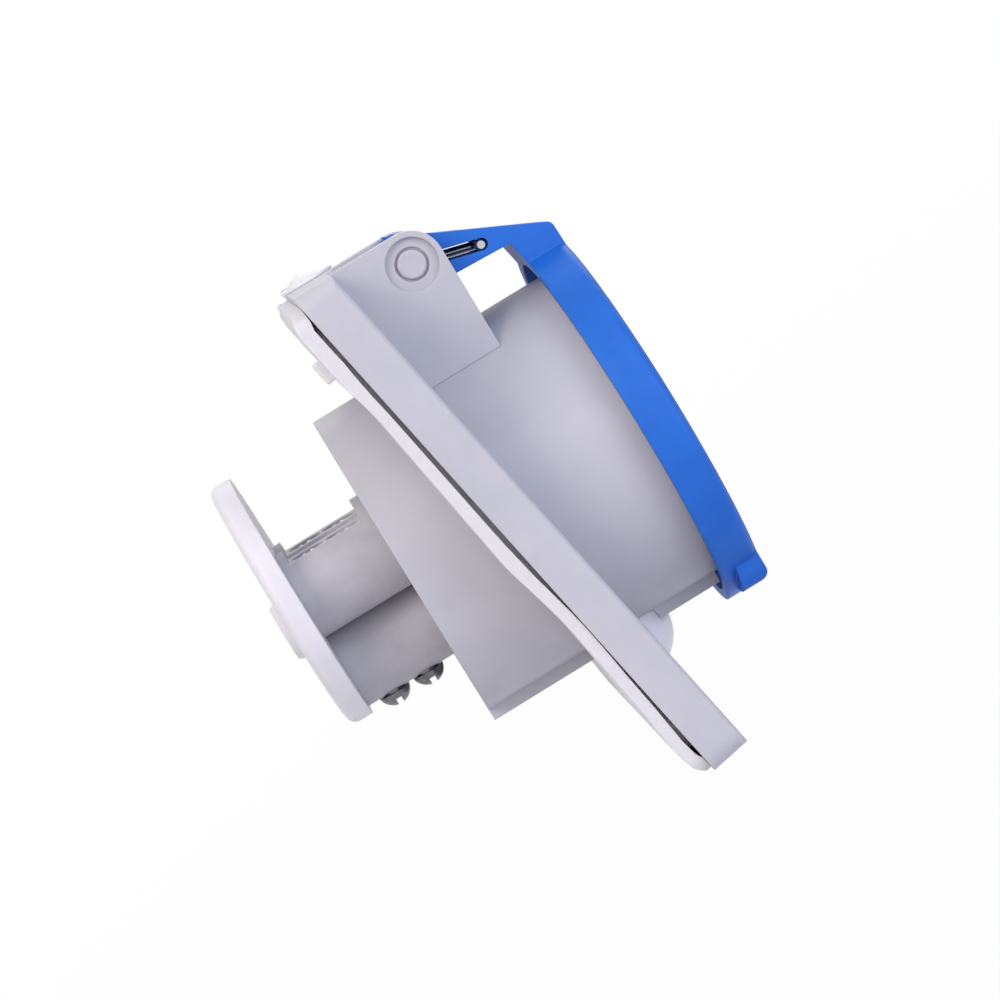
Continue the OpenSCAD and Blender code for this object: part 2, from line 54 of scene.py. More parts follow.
# How far red, green and blue spread under a pale skin, as shares of the finish's own distance.
SKIN_SCATTER = (1.0, 0.9, 0.8)

# The sockets of a colour mix: how much of the upper colour, the lower and upper colour, and the result.
MIX_SHARE = 0
MIX_UNDER = 6
MIX_OVER = 7
MIX_RESULT = 2

# Faces that meet at more than this form a corner.
CORNER_DEGREES = 60.0

# Points nearer than this are one: of a turned shape in millimetres, and of a CAD copy in metres.
TURNED_JOIN = 1e-5
COPY_JOIN = 2e-6

# Faces of a CAD copy that meet at less than this are one flat face.
FLAT_DEGREES = 0.5


class Body(Enum):
    """The two bodies that the pieces ride on."""

    SOCKET = "socket_body"
    LID = "lid_body"


class Slot(Enum):
    """The record's material slots. No piece here is given one."""

    GREY = "grey_plastic"
    WHITE = "white_plastic"
    SOFT = "soft_gasket"
    STEEL = "plated_steel"


def linear(code: str) -> tuple[float, float, float, float]:
    """Turns an sRGB hex colour into the linear colour that the shaders work with.

    Args:
        code: Six hex digits after a hash sign.

    Returns:
        Linear red, green, blue and an alpha of 1.
    """
    parts = [int(code[i:i + 2], 16) / 255 for i in (1, 3, 5)]
    red, green, blue = [p / 12.92 if p <= 0.04045 else ((p + 0.055) / 1.055) ** 2.4 for p in parts]
    return red, green, blue, 1.0


def per_metre(size_mm: float) -> float:
    """Gives the texture scale whose features are about size_mm across on Object coordinates."""
    return 1 / (size_mm * MILLIMETRE)


def fill(tree: bpy.types.NodeTree, node: bpy.types.Node, inputs: dict[Any, Any]) -> None:
    """Sets or links a node's inputs.

    Args:
        tree: The node tree that holds the node.
        node: The node.
        inputs: Input names or numbers, each with a value or the output socket that feeds it.
    """
    for name, value in inputs.items():
        if isinstance(value, bpy.types.NodeSocket):
            tree.links.new(value, node.inputs[name])
        else:
            node.inputs[name].default_value = value


def add_node(tree: bpy.types.NodeTree, kind: str, inputs: dict[Any, Any] | None = None,
             **settings: Any) -> bpy.types.Node:
    """Adds one node with its settings, and sets or links its inputs.

    Args:
        tree: The node tree that gets the node.
        kind: The node's type, such as ShaderNodeTexNoise.
        inputs: Input names or numbers, each with a value or the output socket that feeds it.
        settings: Attributes of the node, such as an operation.

    Returns:
        The new node.
    """
    node = tree.nodes.new(kind)
    for name, value in settings.items():
        setattr(node, name, value)
    fill(tree, node, inputs or {})
    return node


@dataclass(frozen=True)
class Blank:
    """A new material, with what every finish starts from."""

    made: bpy.types.Material
    tree: bpy.types.NodeTree
    shader: bpy.types.Node
    place: bpy.types.NodeSocket


def blank_material(name: str) -> Blank:
    """Makes a material that has its shader and Object coordinates, and no pattern yet."""
    made = bpy.data.materials.new(name)
    made.use_nodes = True
    tree = made.node_tree
    place = add_node(tree, "ShaderNodeTexCoord").outputs["Object"]
    return Blank(made, tree, tree.nodes["Principled BSDF"], place)


@dataclass(frozen=True)
class Moulding:
    """An injection-moulded plastic: matte from a spark-eroded mould, with soft flow clouds and rubbed edges.

    The clouds are slow changes of tone where the melt ran thick or thin. The grain is the mould's
    own, about 0.1 mm in the real part, and is drawn coarser so that it shows at this distance.
    """

    name: str
    colour: str
    cloud_colour: str
    edge_colour: str
    roughness: float = 0.46
    grain_mm: float = 0.32
    grain_depth_mm: float = 0.012
    cloud_mm: float = 14.0
    edge_mm: float = 0.3
    glow: float = 0.0
    glow_mm: float = 1.0
    shine: float = 0.4

    # Each band is the stretch of a noise that shows, and each share is how far it shows at most. The
    # likeness is that of an edge's true and rounded normal, where rubbing starts and where it is full.
    IOR = 1.52
    CLOUD_BAND = (0.35, 0.68)
    SPECK_BAND = (0.58, 0.80)
    SPECK_SHARE = 0.35
    EDGE_LIKENESS = (0.97, 0.80)
    EDGE_SHARE = 0.55
    EDGE_SAMPLES = 6
    SHINIER = 0.04
    DULLER = 0.05
    SINK_MM = 7.0
    SINK_DEPTH_MM = 0.05

    def material(self) -> bpy.types.Material:
        """Builds the material with its colour, roughness and relief nodes."""
        blank = blank_material(self.name)
        tree = blank.tree
        cloud = add_node(tree, "ShaderNodeTexNoise", {
            "Vector": blank.place, "Scale": per_metre(self.cloud_mm), "Detail": 3.0, "Roughness": 0.55,
        }).outputs["Fac"]
        grain = add_node(tree, "ShaderNodeTexNoise", {
            "Vector": blank.place, "Scale": per_metre(self.grain_mm), "Detail": 2.0, "Roughness": 0.6,
        }).outputs["Fac"]
        rounded = add_node(tree, "ShaderNodeBevel", {
            "Radius": self.edge_mm * MILLIMETRE,
        }, samples=self.EDGE_SAMPLES).outputs["Normal"]
        uneven = add_node(tree, "ShaderNodeMapRange", {
            "Value": cloud, "From Min": NOISE_LOW, "From Max": NOISE_HIGH,
            "To Min": self.roughness - self.SHINIER, "To Max": self.roughness + self.DULLER,
        })
        fill(tree, blank.shader, {
            "Base Color": self._toning(tree, cloud, grain, rounded),
            "Roughness": uneven.outputs["Result"],
            "Normal": self._relief(tree, grain, rounded, blank.place),
            "IOR": self.IOR,
            "Specular IOR Level": self.shine,
            "Subsurface Weight": self.glow,
            "Subsurface Scale": self.glow_mm * MILLIMETRE,
            "Subsurface Radius": SKIN_SCATTER,
        })
        return blank.made

    def _toning(self, tree: bpy.types.NodeTree, cloud: bpy.types.NodeSocket, grain: bpy.types.NodeSocket,
                rounded: bpy.types.NodeSocket) -> bpy.types.NodeSocket:
        """Lays the clouds, the grain's specks and the rubbed edges over the plain colour.

        Args:
            tree: The material's nodes.
            cloud: The slow noise.
            grain: The fine noise.
            rounded: The normal of the surface with its edges rounded.

        Returns:
            The surface's colour.
        """
        flow = add_node(tree, "ShaderNodeMapRange", {
            "Value": cloud, "From Min": self.CLOUD_BAND[0], "From Max": self.CLOUD_BAND[1],
            "To Min": 0.0, "To Max": 1.0,
        }, interpolation_type="SMOOTHSTEP")
        speck = add_node(tree, "ShaderNodeMapRange", {
            "Value": grain, "From Min": self.SPECK_BAND[0], "From Max": self.SPECK_BAND[1],
            "To Min": 0.0, "To Max": self.SPECK_SHARE,
        }, interpolation_type="SMOOTHSTEP")
        layers = [
            (flow.outputs["Result"], self.cloud_colour),
            (speck.outputs["Result"], self.cloud_colour),
            (self._rubbed_edges(tree, rounded), self.edge_colour),
        ]
        colour = linear(self.colour)
        for share, over in layers:
            mixed = add_node(tree, "ShaderNodeMix", {
                MIX_SHARE: share, MIX_UNDER: colour, MIX_OVER: linear(over),
            }, data_type="RGBA")
            colour = mixed.outputs[MIX_RESULT]
        return colour

    def _rubbed_edges(self, tree: bpy.types.NodeTree,
                      rounded: bpy.types.NodeSocket) -> bpy.types.NodeSocket:
        """Gives a mask of the edges, where the rounded normal turns away from the true one."""
        true_normal = add_node(tree, "ShaderNodeNewGeometry").outputs["True Normal"]
        likeness = add_node(tree, "ShaderNodeVectorMath", {
            0: rounded, 1: true_normal,
        }, operation="DOT_PRODUCT")
        return add_node(tree, "ShaderNodeMapRange", {
            "Value": likeness.outputs["Value"],
            "From Min": self.EDGE_LIKENESS[0], "From Max": self.EDGE_LIKENESS[1],
            "To Min": 0.0, "To Max": self.EDGE_SHARE,
        }).outputs["Result"]

    def _relief(self, tree: bpy.types.NodeTree, grain: bpy.types.NodeSocket, rounded: bpy.types.NodeSocket,
                place: bpy.types.NodeSocket) -> bpy.types.NodeSocket:
        """Adds slight sink marks and the mould's grain to the surface with its edges rounded.

        Args:
            tree: The material's nodes.
            grain: The fine noise.
            rounded: The normal of the surface with its edges rounded.
            place: Object coordinates.

        Returns:
            The normal.
        """
        sink = add_node(tree, "ShaderNodeTexNoise", {
            "Vector": place, "Scale": per_metre(self.SINK_MM), "Detail": 1.0,
        })
        waves = add_node(tree, "ShaderNodeBump", {
            "Height": sink.outputs["Fac"], "Distance": self.SINK_DEPTH_MM * MILLIMETRE, "Strength": 0.6,
            "Normal": rounded,
        })
        pitted = add_node(tree, "ShaderNodeBump", {
            "Height": grain, "Distance": self.grain_depth_mm * MILLIMETRE, "Strength": 0.8,
            "Normal": waves.outputs["Normal"],
        })
        return pitted.outputs["Normal"]


@dataclass(frozen=True)
class SoftRubber:
    """A soft moulded elastomer: dull, a little translucent, with dust held on its skin.

    The skin's own grain is finer than 0.1 mm, and is drawn coarser so that it shows.
    """

    name: str
    colour: str
    dust_colour: str
    roughness: float = 0.55
    dust_mm: float = 1.6
    skin_mm: float = 0.5
    glow: float = 0.1
    glow_mm: float = 0.8
    sheen: float = 0.15

    IOR = 1.43
    DUST_BAND = (0.45, 0.75)
    DUST_SHARE = 0.5
    SHINIER = 0.08
    DULLER = 0.1
    SKIN_DEPTH_MM = 0.03

    def material(self) -> bpy.types.Material:
        """Builds the material with its colour, roughness and relief nodes."""
        blank = blank_material(self.name)
        tree = blank.tree
        dust = add_node(tree, "ShaderNodeTexNoise", {
            "Vector": blank.place, "Scale": per_metre(self.dust_mm), "Detail": 5.0, "Roughness": 0.7,
        }).outputs["Fac"]
        skin = add_node(tree, "ShaderNodeTexNoise", {
            "Vector": blank.place, "Scale": per_metre(self.skin_mm), "Detail": 3.0,
        }).outputs["Fac"]
        held = add_node(tree, "ShaderNodeMapRange", {
            "Value": dust, "From Min": self.DUST_BAND[0], "From Max": self.DUST_BAND[1],
            "To Min": 0.0, "To Max": self.DUST_SHARE,
        })
        toned = add_node(tree, "ShaderNodeMix", {
            MIX_SHARE: held.outputs["Result"],
            MIX_UNDER: linear(self.colour), MIX_OVER: linear(self.dust_colour),
        }, data_type="RGBA")
        dull = add_node(tree, "ShaderNodeMapRange", {
            "Value": dust, "From Min": NOISE_LOW, "From Max": NOISE_HIGH,
            "To Min": self.roughness - self.SHINIER, "To Max": self.roughness + self.DULLER,
        })
        relief = add_node(tree, "ShaderNodeBump", {
            "Height": skin, "Distance": self.SKIN_DEPTH_MM * MILLIMETRE, "Strength": 0.7,
        })
        fill(tree, blank.shader, {
            "Base Color": toned.outputs[MIX_RESULT],
            "Roughness": dull.outputs["Result"],
            "Normal": relief.outputs["Normal"],
            "IOR": self.IOR,
            "Subsurface Weight": self.glow,
            "Subsurface Scale": self.glow_mm * MILLIMETRE,
            "Subsurface Radius": SKIN_SCATTER,
            "Sheen Weight": self.sheen,
        })
        return blank.made


class Working(Enum):
    """How a metal's surface was made, as the way its fine lines run: scale factors along x, y and z.

    On the small turned parts the lines show no direction, so they are drawn as an even grain.
    """

    DRAWN = (0.05, 1.0, 1.0)
    TURNED = (1.0, 1.0, 1.0)
    LENGTHWISE = (1.0, 0.04, 1.0)


@dataclass(frozen=True)
class BareMetal:
    """A metal with its own colour: fine tool lines, small stains and slightly duller patches.

    Real tool lines are about 0.05 mm apart, and are drawn coarser so that they show.
    """

    name: str
    colour: str
    stain_colour: str
    working: Working
    roughness: float = 0.28
    line_mm: float = 0.18
    stain_mm: float = 2.2

    STAIN_BAND = (0.48, 0.72)
    STAIN_SHARE = 0.7
    SHINIER = 0.07
    DULLER = 0.1
    LINE_DEPTH_MM = 0.01

    def material(self) -> bpy.types.Material:
        """Builds the material with its colour, roughness and relief nodes."""
        blank = blank_material(self.name)
        tree = blank.tree
        along = add_node(tree, "ShaderNodeMapping", {"Vector": blank.place, "Scale": self.working.value})
        lines = add_node(tree, "ShaderNodeTexNoise", {
            "Vector": along.outputs["Vector"], "Scale": per_metre(self.line_mm), "Detail": 2.0,
        }).outputs["Fac"]
        stain = add_node(tree, "ShaderNodeTexNoise", {
            "Vector": blank.place, "Scale": per_metre(self.stain_mm), "Detail": 4.0, "Roughness": 0.6,
        }).outputs["Fac"]
        dulled = add_node(tree, "ShaderNodeMapRange", {
            "Value": stain, "From Min": self.STAIN_BAND[0], "From Max": self.STAIN_BAND[1],
            "To Min": 0.0, "To Max": self.STAIN_SHARE,
        })
        toned = add_node(tree, "ShaderNodeMix", {
            MIX_SHARE: dulled.outputs["Result"],
            MIX_UNDER: linear(self.colour), MIX_OVER: linear(self.stain_colour),
        }, data_type="RGBA")
        uneven = add_node(tree, "ShaderNodeMapRange", {
            "Value": stain, "From Min": NOISE_LOW, "From Max": NOISE_HIGH,
            "To Min": self.roughness - self.SHINIER, "To Max": self.roughness + self.DULLER,
        })
        relief = add_node(tree, "ShaderNodeBump", {
            "Height": lines, "Distance": self.LINE_DEPTH_MM * MILLIMETRE, "Strength": 0.6,
        })
        fill(tree, blank.shader, {
            "Base Color": toned.outputs[MIX_RESULT],
            "Roughness": uneven.outputs["Result"],
            "Normal": relief.outputs["Normal"],
            "Metallic": 1.0,
        })
        return blank.made


# Polyamide from a spark-eroded mould: matte, with a slight depth to its skin.
GREY_POLYAMIDE = Moulding("grey_moulded_polyamide", "#c3c2c9", "#bcbcc4", "#d2d1d8", glow=0.06)

# The same plastic coloured through: duller, and paler where its edges are rubbed.
BLUE_POLYAMIDE = Moulding(
    "blue_moulded_polyamide", "#1c6acf", "#1762c4", "#3f83da", roughness=0.48, edge_mm=0.35, shine=0.3
)

# A smoother moulded plastic that lets some light in, so its rims look soft.
WHITE_PLASTIC = Moulding(
    "white_moulded_plastic", "#e3e1e6", "#dbd9df", "#efeef2", roughness=0.4, glow=0.15, glow_mm=1.5
)

# Undyed moulded plastic: light passes deep into it, so the caps look milky.
CAP_PLASTIC = Moulding(
    "natural_moulded_cap", "#f0eff3", "#e8e7ec", "#f6f6f9", roughness=0.35, glow=0.5, glow_mm=3.0
)

# A filled insulating plastic: the coarsest grain and the dullest skin of the plastics.
CARRIER_PLASTIC = Moulding(
    "grey_moulded_insulator", "#c0bec4", "#b3b1b8", "#cccad1", roughness=0.5, grain_mm=0.4, cloud_mm=8.0
)

# Moulded elastomer: little gloss, and a greyer film where dust clings.
GASKET_RUBBER = SoftRubber("off_white_gasket_rubber", "#dcdadd", "#d2cfd0")

# Steel with a zinc coat: bright, with dull patches.
PLATED_STEEL = BareMetal("zinc_plated_steel", "#c8c8cc", "#9b9aa0", Working.TURNED)

# Screw steel drawn a darker grey as painted dark reflection, with small dark stains.
SCREW_STEEL_PAINTED_DARK_REFLECTION = BareMetal(
    "screw_steel_painted_dark_reflection", "#77777b", "#3e3e42", Working.TURNED, roughness=0.3, stain_mm=1.4
)

# Spring steel drawn to wire: the shiniest metal here.
SPRING_STEEL = BareMetal("drawn_spring_steel", "#c3c4c8", "#8f8f95", Working.DRAWN, roughness=0.22)

# Brass turned to a sleeve: warm, with fine lines along it and brown stains.
CONTACT_BRASS = BareMetal("turned_contact_brass", "#d0ab5c", "#a9843f", Working.LENGTHWISE)

Finish = Moulding | SoftRubber | BareMetal

CAD_FINISHES: dict[str, Finish] = {
    "housing": GREY_POLYAMIDE,
    "socket_tube": GREY_POLYAMIDE,
    "lid": BLUE_POLYAMIDE,
    "line_carrier": CARRIER_PLASTIC,
    "neutral_carrier": CARRIER_PLASTIC,
    "earth_carrier": CARRIER_PLASTIC,
    "terminal_tubes": CARRIER_PLASTIC,
    "rear_plate": WHITE_PLASTIC,
    "lower_cap": CAP_PLASTIC,
    "line_sleeve": CONTACT_BRASS,
    "neutral_sleeve": CONTACT_BRASS,
    "earth_sleeve": CONTACT_BRASS,
    "line_ring": SPRING_STEEL,
    "neutral_ring": SPRING_STEEL,
    "earth_ring": SPRING_STEEL,
    "line_screws": PLATED_STEEL,
    "neutral_screws": PLATED_STEEL,
    # The earth screws' darker grey is painted dark reflection.
    "earth_screws": SCREW_STEEL_PAINTED_DARK_REFLECTION,
    "rear_plate_screw": PLATED_STEEL,
    "carrier_screws": PLATED_STEEL,
}


class Workshop:
    """Keeps the finishes that were built, and turns a bmesh into a finished piece."""

    def __init__(self) -> None:
        """Starts with no finish built."""
        self.built: dict[str, bpy.types.Material] = {}

    def finish(self, wanted: Finish) -> bpy.types.Material:
        """Gives the material of a finish, and builds it once."""
        if wanted.name not in self.built:
            self.built[wanted.name] = wanted.material()
        return self.built[wanted.name]

    def piece(self, name: str, mesh: bmesh.types.BMesh, wanted: Finish, body: Body,
              replaces: Sequence[str] = (), smooth_degrees: float = 35.0) -> bpy.types.Object:
        """Makes one finished piece at the origin, sets it on its body and hides the CAD nodes that it stands
        for.

        Args:
            name: The piece's name.
            mesh: Its shape in metres, in the row's frame. It is freed here.
            wanted: Its finish.
            body: The body that it rides on.
            replaces: CAD nodes that it stands for.
            smooth_degrees: Faces that meet at less than this are shaded as one.

        Returns:
            The piece's object.
        """
        bmesh.ops.recalc_face_normals(mesh, faces=mesh.faces)
        shape = bpy.data.meshes.new(name)
        mesh.to_mesh(shape)
        mesh.free()
        shape.shade_smooth()
        shape.set_sharp_from_angle(angle=math.radians(smooth_degrees))
        shape.materials.append(self.finish(wanted))
        made = bpy.data.objects.new(name, shape)
        bpy.context.scene.collection.objects.link(made)
        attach(made, body.value)
        if replaces:
            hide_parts(*replaces)
        log.info("%s: %d faces, finish %s, on %s", name, len(shape.polygons), wanted.name, body.value)
        return made

    def dress(self, node: str, wanted: Finish) -> None:
        """Puts a finish on a CAD node, whose mesh stays as it is."""
        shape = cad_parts[node].data
        shape.materials.clear()
        shape.materials.append(self.finish(wanted))
        log.info("%s: CAD node, finish %s", node, wanted.name)


@dataclass(frozen=True)
class SocketAxis:
    """The socket's own frame, as in the part's source: across, up and outwards, in millimetres."""

    rim_y: float = -2.8
    axis_z: float = 0.9
    tilt: float = 10.5
    hinge_out: float = 9.5
    hinge_up: float = 36.6

    def to_row(self) -> Matrix:
        """Gives the matrix from the socket's frame in millimetres to the row's frame in metres."""
        turn = Matrix.Rotation(math.radians(90 + self.tilt), 4, "X")
        return Matrix.Scale(MILLIMETRE, 4) @ Matrix.Translation((0, self.rim_y, self.axis_z)) @ turn

    def hinge(self) -> Vector:
        """Gives the middle of the hinge in the socket's frame."""
        return Vector((0, self.hinge_up, self.hinge_out))


def verts_in(geometry: Iterable[Any]) -> list[bmesh.types.BMVert]:
    """Picks the vertices out of an operator's result."""
    return [item for item in geometry if isinstance(item, bmesh.types.BMVert)]


def edges_in(geometry: Iterable[Any]) -> list[bmesh.types.BMEdge]:
    """Picks the edges out of an operator's result."""
    return [item for item in geometry if isinstance(item, bmesh.types.BMEdge)]


def sharp_edges(mesh: bmesh.types.BMesh, degrees: float,
                wanted: Callable[[bmesh.types.BMEdge], bool] = lambda edge: True) -> list[bmesh.types.BMEdge]:
    """Lists the edges whose two faces meet at more than an angle.

    Args:
        mesh: The mesh that is searched.
        degrees: The angle.
        wanted: A further test of an edge.

    Returns:
        The edges that pass both.
    """
    limit = math.radians(degrees)
    return [e for e in mesh.edges if e.is_manifold and e.calc_face_angle() > limit and wanted(e)]


def soften(mesh: bmesh.types.BMesh, edges: Sequence[bmesh.types.BMEdge], radius: float,
           steps: int = 3) -> None:
    """Rounds edges with a radius in the mesh's own unit."""
    bmesh.ops.bevel(
        mesh, geom=list(edges), offset=radius, offset_type="OFFSET", segments=steps, profile=0.5,
        affect="EDGES", clamp_overlap=True, material=-1,
    )


def turned(profile: Sequence[tuple[float, float]], steps: int) -> bmesh.types.BMesh:
    """Turns a closed outline about the z axis, as on a lathe.

    Args:
        profile: Radius and height of each corner, in order.
        steps: The number of steps round the axis.

    Returns:
        A closed ring or disc.
    """
    mesh = bmesh.new()
    corners = [mesh.verts.new((radius, 0, height)) for radius, height in profile]
    edges = [mesh.edges.new((a, b)) for a, b in zip(corners, corners[1:] + corners[:1])]
    bmesh.ops.spin(
        mesh, geom=corners + edges, cent=(0, 0, 0), axis=(0, 0, 1), angle=math.tau, steps=steps,
        use_merge=True, use_duplicate=False,
    )
    bmesh.ops.remove_doubles(mesh, verts=mesh.verts, dist=TURNED_JOIN)
    bmesh.ops.recalc_face_normals(mesh, faces=mesh.faces)
    return mesh


def merged_copy(node: str) -> bmesh.types.BMesh:
    """Copies a CAD node's mesh, joins its loose triangles and clears the edges inside flat faces."""
    mesh = bmesh.new()
    mesh.from_mesh(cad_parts[node].data)
    bmesh.ops.remove_doubles(mesh, verts=mesh.verts, dist=COPY_JOIN)
    bmesh.ops.dissolve_limit(
        mesh, angle_limit=math.radians(FLAT_DEGREES), verts=mesh.verts, edges=mesh.edges,
        use_dissolve_boundaries=False,
    )
    return mesh


class Wire:
    """A round wire that grows from its rim, straight or round a bend, in the socket's frame."""

    def __init__(self, radius: float, sides: int, start: Vector) -> None:
        """Starts a wire that points outwards along the socket's axis.

        Args:
            radius: The wire's radius in millimetres.
            sides: The number of sides of its section.
            start: The middle of its first rim.
        """
        self.mesh = bmesh.new()
        ring = bmesh.ops.create_circle(
            self.mesh, cap_ends=False, segments=sides, radius=radius, matrix=Matrix.Translation(start)
        )
        self.rim = list({edge for vert in ring["verts"] for edge in vert.link_edges})

    def aim(self, centre: Vector, axis: tuple[float, float, float], degrees: float) -> None:
        """Turns the whole wire so far about an axis through a point."""
        bmesh.ops.rotate(
            self.mesh, verts=self.mesh.verts, cent=centre,
            matrix=Matrix.Rotation(math.radians(degrees), 3, Vector(axis)),
        )

    def straight(self, way: Vector, swell: float = 1.0) -> None:
        """Adds a straight stretch, whose far end is so many times as thick."""
        grown = bmesh.ops.extrude_edge_only(self.mesh, edges=self.rim)
        fresh = set(verts_in(grown["geom"]))
        self.rim = [e for e in edges_in(grown["geom"]) if set(e.verts) <= fresh]
        bmesh.ops.translate(self.mesh, verts=list(fresh), vec=way)
        middle = sum((vert.co for vert in fresh), Vector()) / len(fresh)
        bmesh.ops.scale(
            self.mesh, verts=list(fresh), vec=(swell, swell, swell), space=Matrix.Translation(-middle)
        )

    def place(self) -> Vector:
        """Gives the middle of the open rim."""
        rim_verts = {vert for edge in self.rim for vert in edge.verts}
        return sum((vert.co for vert in rim_verts), Vector()) / len(rim_verts)

    def bend(self, centre: Vector, axis: tuple[float, float, float], degrees: float, steps: int,
             shift: float = 0.0) -> None:
        """Adds a bend or a coil.

        Args:
            centre: A point on the axis of the bend.
            axis: The direction of that axis.
            degrees: How far the wire turns.
            steps: The number of steps.
            shift: How far the wire moves along x over the whole bend.
        """
        rim_verts = list({vert for edge in self.rim for vert in edge.verts})
        spun = bmesh.ops.spin(
            self.mesh, geom=rim_verts + self.rim, cent=centre, axis=axis, angle=math.radians(degrees),
            dvec=(shift / steps, 0, 0), steps=steps, use_merge=False, use_duplicate=False,
        )
        self.rim = edges_in(spun["geom_last"])

    def mirrored(self) -> bmesh.types.BMesh:
        """Adds the other half across x = 0, closes the ends and gives the mesh in the socket's frame."""
        everything = self.mesh.verts[:] + self.mesh.edges[:] + self.mesh.faces[:]
        bmesh.ops.mirror(self.mesh, geom=everything, matrix=Matrix.Identity(4), merge_dist=0.0, axis="X")
        open_edges = [edge for edge in self.mesh.edges if edge.is_boundary]
        bmesh.ops.holes_fill(self.mesh, edges=open_edges, sides=0)
        return self.mesh


@dataclass
class HingeSpring:
    """The double torsion spring: two feet and coils on the socket, and two hooked legs in the lid's arm."""

    axis: SocketAxis
    wire_r: float = 0.6
    inner_wire_r: float = 0.58
    coil_r: float = 2.95
    outer_x: float = 6.4
    inner_x: float = 2.0
    turns: int = 3
    foot_out: float = 4.2
    hook_out: float = 19.65
    hook_end_x: float = 8.5
    hook_swell: float = 1.35
    crank_out: float = 13.2
    crank_degrees: float = 26.0
    slot_degrees: float = 14.8
    crank_r: float = 1.0
    bend_r: float = 1.2
    swell_length: float = 1.0
    tip_length: float = 0.2
    tip_share: float = 0.75
    trail: float = 110.0
    sides: int = 16
    steps_per_turn: int = 48
    trail_steps: int = 16
    crank_steps: int = 6
    hook_steps: int = 8

    ROUND_HINGE = (-1.0, 0.0, 0.0)

    def leg_up(self) -> float:
        """Gives the height of the feet and legs, which leave at the bottom of the coils."""
        return self.axis.hinge_up - self.coil_r

    def coils(self) -> bmesh.types.BMesh:
        """Builds both feet and both coils."""
        wire = Wire(self.wire_r, self.sides, Vector((self.outer_x, self.leg_up(), self.foot_out)))
        wire.straight(Vector((0, 0, self.axis.hinge_out - self.foot_out)))
        wire.bend(
            self.axis.hinge(), self.ROUND_HINGE, 360.0 * self.turns, self.turns * self.steps_per_turn,
            self.inner_x - self.outer_x,
        )
        mesh = wire.mirrored()
        bmesh.ops.transform(mesh, matrix=self.axis.to_row(), verts=mesh.verts)
        return mesh

    def legs(self) -> bmesh.types.BMesh:
        """Builds both legs with the end of each coil that turns with the lid.

        A leg leaves its coil a little upwards, is cranked down along the arm's slot, and its end
        turns outwards and fills the slot's end.
        """
        up_slope = math.radians(self.crank_degrees)
        down_slope = math.radians(self.slot_degrees)
        trail = self.trail + self.crank_degrees
        shift = (self.outer_x - self.inner_x) / self.turns * trail / 360.0
        start = Vector((self.inner_x + shift, self.leg_up(), self.axis.hinge_out))
        wire = Wire(self.inner_wire_r, self.sides, start)
        wire.aim(self.axis.hinge(), self.ROUND_HINGE, -self.trail)
        wire.bend(self.axis.hinge(), self.ROUND_HINGE, trail, self.trail_steps, -shift)
        rise = Vector((0, math.sin(up_slope), math.cos(up_slope)))
        wire.straight(rise * (self.crank_out - wire.place().z) / rise.z)
        wire.bend(
            wire.place() + self.crank_r * Vector((0, -math.cos(up_slope), math.sin(up_slope))),
            (1.0, 0.0, 0.0), self.crank_degrees + self.slot_degrees, self.crank_steps,
        )
        fall = Vector((0, -math.sin(down_slope), math.cos(down_slope)))
        wire.straight(fall * (self.hook_out - self.bend_r - wire.place().z) / fall.z)
        wire.bend(
            wire.place() + Vector((self.bend_r, 0, 0)),
            (0.0, math.cos(down_slope), math.sin(down_slope)), 90.0, self.hook_steps,
        )
        wire.straight(Vector((self.swell_length, 0, 0)), self.hook_swell)
        wire.straight(Vector((self.hook_end_x - self.tip_length - wire.place().x, 0, 0)))
        wire.straight(Vector((self.tip_length, 0, 0)), self.tip_share)
        mesh = wire.mirrored()
        bmesh.ops.transform(mesh, matrix=self.axis.to_row(), verts=mesh.verts)
        return mesh

    def build(self, shop: Workshop) -> None:
        """Makes the spring's two pieces."""
        shop.piece("spring_coils", self.coils(), SPRING_STEEL, Body.SOCKET, ["lid_spring"])
        shop.piece("spring_legs", self.legs(), SPRING_STEEL, Body.LID, ["lid_spring"])


@dataclass
class HingePin:
    """The moulded pin that the lid turns on, with a rounded edge and a dished face at both ends."""

    axis: SocketAxis
    radius: float = 2.1
    half_length: float = 14.0
    edge_round: float = 0.3
    dish: float = 0.12
    dish_margin: float = 0.5
    sides: int = 96

    END_FACING = 0.99

    def shape(self) -> bmesh.types.BMesh:
        """Builds the pin across the socket."""
        mesh = bmesh.new()
        bmesh.ops.create_cone(
            mesh, cap_ends=True, segments=self.sides, radius1=self.radius, radius2=self.radius,
            depth=2 * self.half_length, matrix=Matrix.Rotation(math.radians(90), 4, "Y"),
        )
        soften(mesh, sharp_edges(mesh, CORNER_DEGREES), self.edge_round)
        ends = [face for face in mesh.faces if abs(face.normal.x) > self.END_FACING]
        for end in ends:
            bmesh.ops.inset_region(
                mesh, faces=[end], thickness=self.dish_margin, depth=-self.dish, use_even_offset=True
            )
        bmesh.ops.translate(mesh, verts=mesh.verts, vec=self.axis.hinge())
        bmesh.ops.transform(mesh, matrix=self.axis.to_row(), verts=mesh.verts)
        return mesh

    def build(self, shop: Workshop) -> None:
        """Makes the pin."""
        shop.piece("turning_pin", self.shape(), GREY_POLYAMIDE, Body.SOCKET, ["hinge_pin"])


